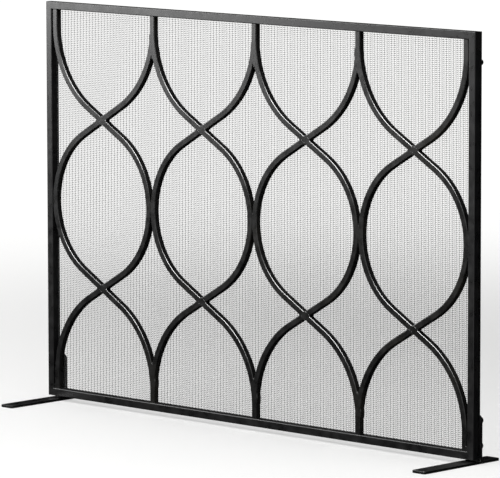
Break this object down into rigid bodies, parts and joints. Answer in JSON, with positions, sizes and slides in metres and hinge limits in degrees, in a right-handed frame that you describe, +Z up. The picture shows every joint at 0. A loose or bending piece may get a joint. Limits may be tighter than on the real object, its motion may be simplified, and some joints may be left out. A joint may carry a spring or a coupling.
{
  "type": "fireplace screen",
  "caption": "Single flat fireplace screen: steel tube frame with bent ogee bars over fine wire mesh, standing on flat bolted feet.",
  "frame": {"origin": "on the floor, at the middle of the width and of the feet's length", "axes": "+X along the width, front towards -Y, +Z up"},
  "size_m": [1.12, 0.207, 0.793],
  "materials": {
    "frame_coat": "satin black powder coat",
    "bar_coat": "satin black powder coat over ground welds",
    "mesh_wire": "black coated woven wire",
    "fasteners": "black oxide steel"
  },
  "bodies": {
    "root": {"top_rail": "frame_coat", "bottom_rail": "frame_coat", "left_stile": "frame_coat", "right_stile": "frame_coat", "upper_long_bar_1": "bar_coat", "lower_long_bar_1": "bar_coat", "upper_short_bar_1": "bar_coat", "lower_short_bar_1": "bar_coat", "upper_long_bar_2": "bar_coat", "lower_long_bar_2": "bar_coat", "upper_short_bar_2": "bar_coat", "lower_short_bar_2": "bar_coat", "upper_long_bar_3": "bar_coat", "lower_long_bar_3": "bar_coat", "upper_short_bar_3": "bar_coat", "lower_short_bar_3": "bar_coat", "upper_long_bar_4": "bar_coat", "lower_long_bar_4": "bar_coat", "upper_short_bar_4": "bar_coat", "lower_short_bar_4": "bar_coat", "top_mesh_strip": "frame_coat", "bottom_mesh_strip": "frame_coat", "left_mesh_strip": "frame_coat", "right_mesh_strip": "frame_coat", "left_foot_bar": "frame_coat", "right_foot_bar": "frame_coat", "left_foot_upright": "frame_coat", "right_foot_upright": "frame_coat", "wire_mesh": "mesh_wire", "foot_bolts": "fasteners", "upper_bolts": "fasteners", "strip_screws": "fasteners", "foot_washers": "fasteners", "foot_spacers": "fasteners", "upper_washers": "fasteners", "weld_nuts": "fasteners"}
  },
  "joints": []
}
